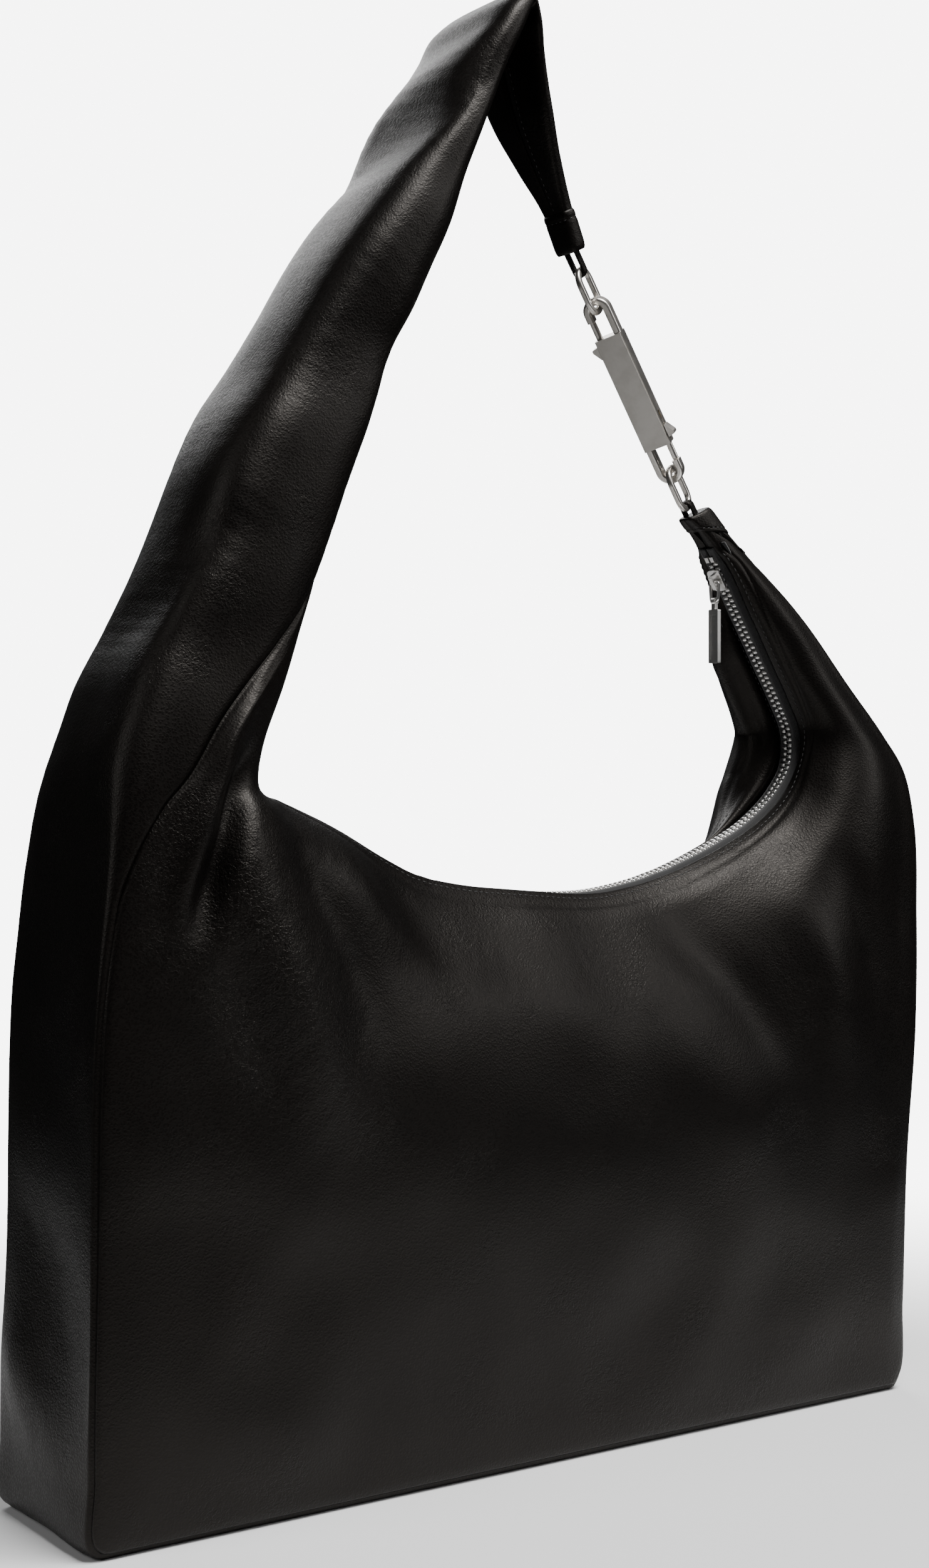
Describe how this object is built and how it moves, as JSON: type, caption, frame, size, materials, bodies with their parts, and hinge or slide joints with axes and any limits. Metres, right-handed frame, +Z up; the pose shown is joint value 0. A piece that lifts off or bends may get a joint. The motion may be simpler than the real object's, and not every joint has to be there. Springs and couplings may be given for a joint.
{
  "type": "leather shoulder bag",
  "caption": "Slouchy black leather shoulder bag: a wide strap folds over and closes with links and a double-ended snap hook; a curved zip runs down the horn.",
  "frame": {"origin": "middle of the bounding box at the base that the bag stands on", "axes": "+Z up, +X along the base towards the horn and the hook, +Y through the bag from front to back"},
  "size_m": [0.4706, 0.112, 0.671],
  "materials": {
    "black_leather": "smooth satin calf leather, finely grained",
    "lining_cloth": "plain twill",
    "zip_tape": "woven tape",
    "stiff_board": "matt",
    "zip_metal": "bright silver plate",
    "hook_metal": "polished warm nickel",
    "satin_metal": "satin brushed nickel",
    "spring_brass": "bare brass wire"
  },
  "bodies": {
    "bag": {"front_panel": "black_leather", "back_panel": "black_leather", "gusset_left": "black_leather", "gusset_base": "black_leather", "gusset_right": "black_leather", "lining_front": "lining_cloth", "lining_back": "lining_cloth", "lining_left": "lining_cloth", "lining_base": "lining_cloth", "lining_right": "lining_cloth", "slip_pocket": "lining_cloth", "base_board": "stiff_board", "root_bridge": "black_leather", "strap_outer": "black_leather", "strap_inner": "black_leather", "strap_webbing": "zip_tape", "strap_collar": "black_leather", "horn_collar": "black_leather", "zip_tape_front": "zip_tape", "zip_tape_back": "zip_tape", "zip_teeth_front": "zip_metal", "zip_teeth_back": "zip_metal", "zip_stop_front": "zip_metal", "zip_stop_back": "zip_metal", "zip_end_stop": "zip_metal", "upper_loop": "black_leather", "lower_loop": "black_leather"},
    "slider": {"zip_slider": "zip_metal"},
    "bail": {"zip_bail": "zip_metal"},
    "pull": {"zip_pull": "zip_metal"},
    "upper_link": {"upper_link": "hook_metal"},
    "lower_link": {"lower_link": "hook_metal"},
    "hook": {"hook_frame": "hook_metal", "hook_plate_front": "satin_metal", "hook_plate_back": "satin_metal", "upper_gate_spring": "spring_brass", "lower_gate_spring": "spring_brass"},
    "upper_gate": {"upper_gate_pin": "hook_metal", "upper_thumb_piece": "hook_metal"},
    "lower_gate": {"lower_gate_pin": "hook_metal", "lower_thumb_piece": "hook_metal"}
  },
  "joints": [
    {"name": "zip_travel", "type": "slide", "parent": "bag", "child": "slider", "axis": [0.5299, 0, -0.848], "range_m": [0, 0.05]},
    {"name": "bail_swing", "type": "hinge", "parent": "slider", "child": "bail", "pos_m": [0.12554, 0, 0.40888], "axis": [0, 1, 0], "range_deg": [-10, 90]},
    {"name": "pull_swing", "type": "hinge", "parent": "bail", "child": "pull", "pos_m": [0.12554, 0, 0.39938], "axis": [0, 1, 0], "range_deg": [-10, 45]},
    {"name": "upper_link_rock", "type": "hinge", "parent": "bag", "child": "upper_link", "pos_m": [0.03958, 0, 0.55409], "axis": [0.7344, 0.5, 0.4589], "range_deg": [-2.5, 2.5]},
    {"name": "lower_link_rock", "type": "hinge", "parent": "bag", "child": "lower_link", "pos_m": [0.10741, 0, 0.44554], "axis": [0.7344, 0.5, 0.4589], "range_deg": [-2.5, 2.5]},
    {"name": "hook_turn", "type": "hinge", "parent": "bag", "child": "hook", "pos_m": [0.07349, 0, 0.49981], "axis": [-0.5299, 0, 0.848], "range_deg": [-8, 8]},
    {"name": "upper_gate_slide", "type": "slide", "parent": "hook", "child": "upper_gate", "axis": [0.5299, 0, -0.848], "range_m": [0, 0.008], "stiffness_N_per_m": 250, "springref_m": -0.002, "deforming": ["upper_gate_spring"]},
    {"name": "lower_gate_slide", "type": "slide", "parent": "hook", "child": "lower_gate", "axis": [-0.5299, 0, 0.848], "range_m": [0, 0.008], "stiffness_N_per_m": 250, "springref_m": -0.002, "deforming": ["lower_gate_spring"]}
  ]
}
